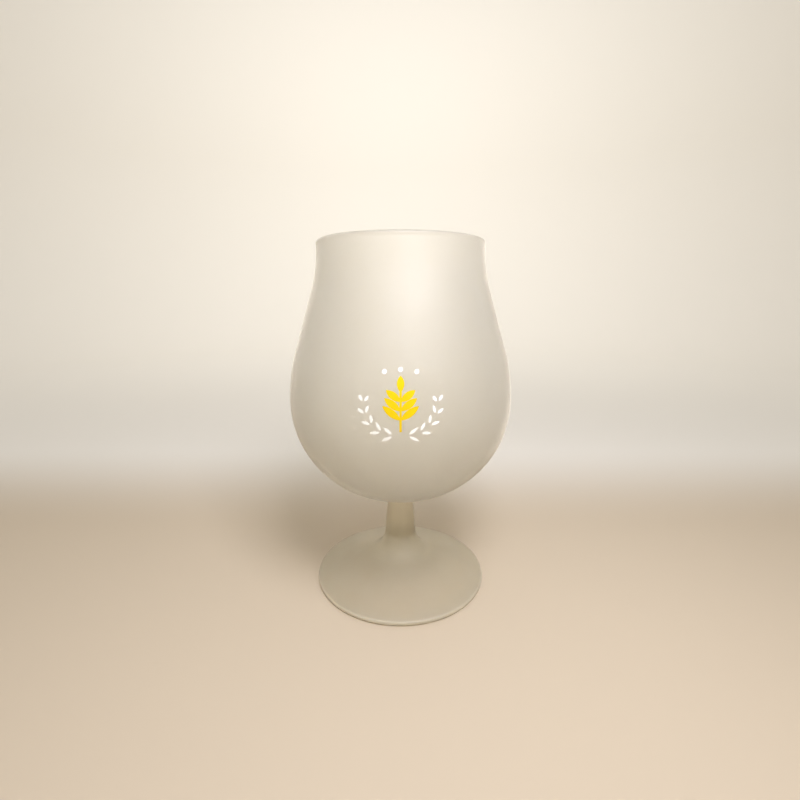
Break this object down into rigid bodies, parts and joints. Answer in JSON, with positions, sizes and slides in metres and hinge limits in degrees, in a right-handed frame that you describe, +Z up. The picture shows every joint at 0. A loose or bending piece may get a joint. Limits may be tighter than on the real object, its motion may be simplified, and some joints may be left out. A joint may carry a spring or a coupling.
{
  "type": "stemmed goblet",
  "caption": "Frosted glass goblet with a round belly drawn in to an upright rim, on a short stem and a wide trumpet foot, with a small leaf print; holds beer or a long drink.",
  "frame": {"origin": "on the glass's axis, in the plane of the ring under the foot that it stands on", "axes": "+Z up along the axis of the glass; the print on the belly faces -Y"},
  "size_m": [0.0944, 0.0945, 0.15],
  "materials": {
    "frosted_glass": "satin, acid-etched all over",
    "yellow_ink": "screen-printed ink, soft gloss",
    "white_ink": "screen-printed ink, soft gloss"
  },
  "bodies": {
    "root": {"bowl": "frosted_glass", "stem": "frosted_glass", "foot": "frosted_glass", "yellow_print": "yellow_ink", "white_print": "white_ink"}
  },
  "joints": []
}
